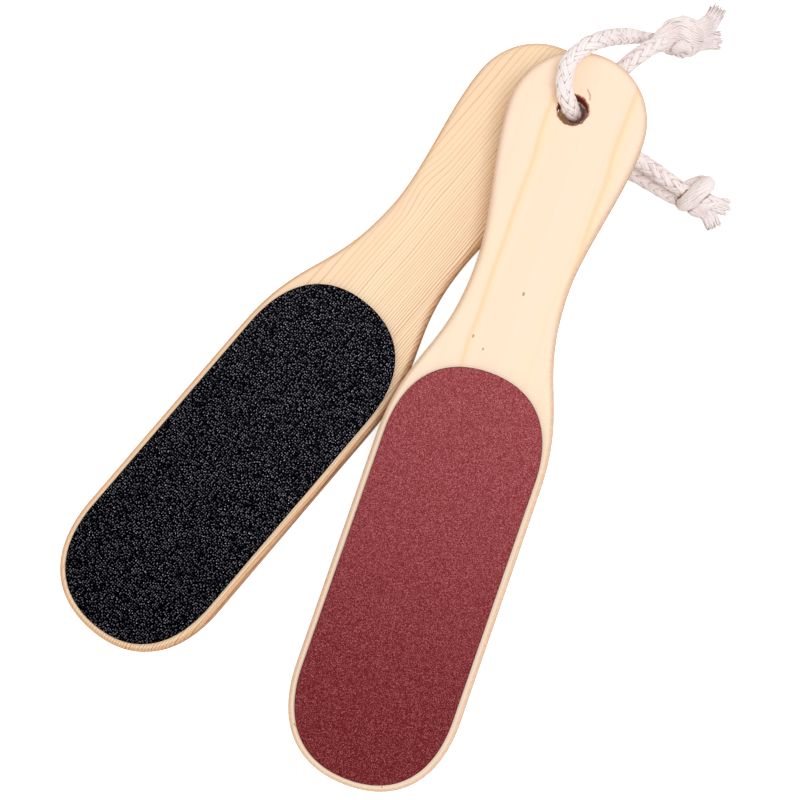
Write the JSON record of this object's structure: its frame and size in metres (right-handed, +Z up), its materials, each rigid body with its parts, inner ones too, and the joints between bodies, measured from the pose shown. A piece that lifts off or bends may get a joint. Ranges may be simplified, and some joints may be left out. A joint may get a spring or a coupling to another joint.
{
  "type": "wooden foot file callus remover",
  "caption": "Crossed pair of double sided wooden foot files with rounded abrasive heads, waisted handles and knotted hang cords",
  "frame": {"origin": "on the surface the pair lies on, under the middle of the box of both files without their cords", "axes": "+Z up; +Y from the heads towards the handles and cords; +X to the right, from the rear file's head towards the cords"},
  "size_m": [0.2411, 0.2802, 0.0434],
  "materials": {
    "tan_pine": "bare sanded pine, tan, with close growth lines",
    "pale_pine": "bare sanded pine, pale cream, with faint growth lines",
    "black_coarse_grit": "coarse black abrasive grains on a cloth back, sparkling",
    "maroon_fine_grit": "fine maroon abrasive grains on a cloth back",
    "glue_film": "set glue, clear to cream",
    "cotton_cord": "undyed braided cotton with a faint pinkish cast"
  },
  "bodies": {
    "rear_file": {"rear_paddle": "tan_pine", "rear_coarse_glue": "glue_film", "rear_coarse_sheet": "black_coarse_grit", "rear_fine_glue": "glue_film", "rear_fine_sheet": "maroon_fine_grit"},
    "rear_cord": {"rear_cord_loop": "cotton_cord", "rear_cord_knot": "cotton_cord", "rear_cord_end_a": "cotton_cord", "rear_cord_end_b": "cotton_cord"},
    "front_file": {"front_paddle": "pale_pine", "front_coarse_glue": "glue_film", "front_coarse_sheet": "black_coarse_grit", "front_fine_glue": "glue_film", "front_fine_sheet": "maroon_fine_grit"},
    "front_cord": {"front_cord_loop": "cotton_cord", "front_cord_knot": "cotton_cord", "front_cord_end_a": "cotton_cord", "front_cord_end_b": "cotton_cord"}
  },
  "joints": [
    {"name": "rear_cord_swing", "type": "hinge", "parent": "rear_file", "child": "rear_cord", "pos_m": [0.0686, 0.1082, 0.0119], "axis": [0, 0, 1], "range_deg": [-12, 8]},
    {"name": "front_file_lift", "type": "slide", "parent": "rear_file", "child": "front_file", "axis": [0, 0, 1], "range_m": [0, 0.06]},
    {"name": "front_cord_swing", "type": "hinge", "parent": "front_file", "child": "front_cord", "pos_m": [0.0775, 0.101, 0.02867], "axis": [0, 0, 1], "range_deg": [-15, 12]}
  ]
}
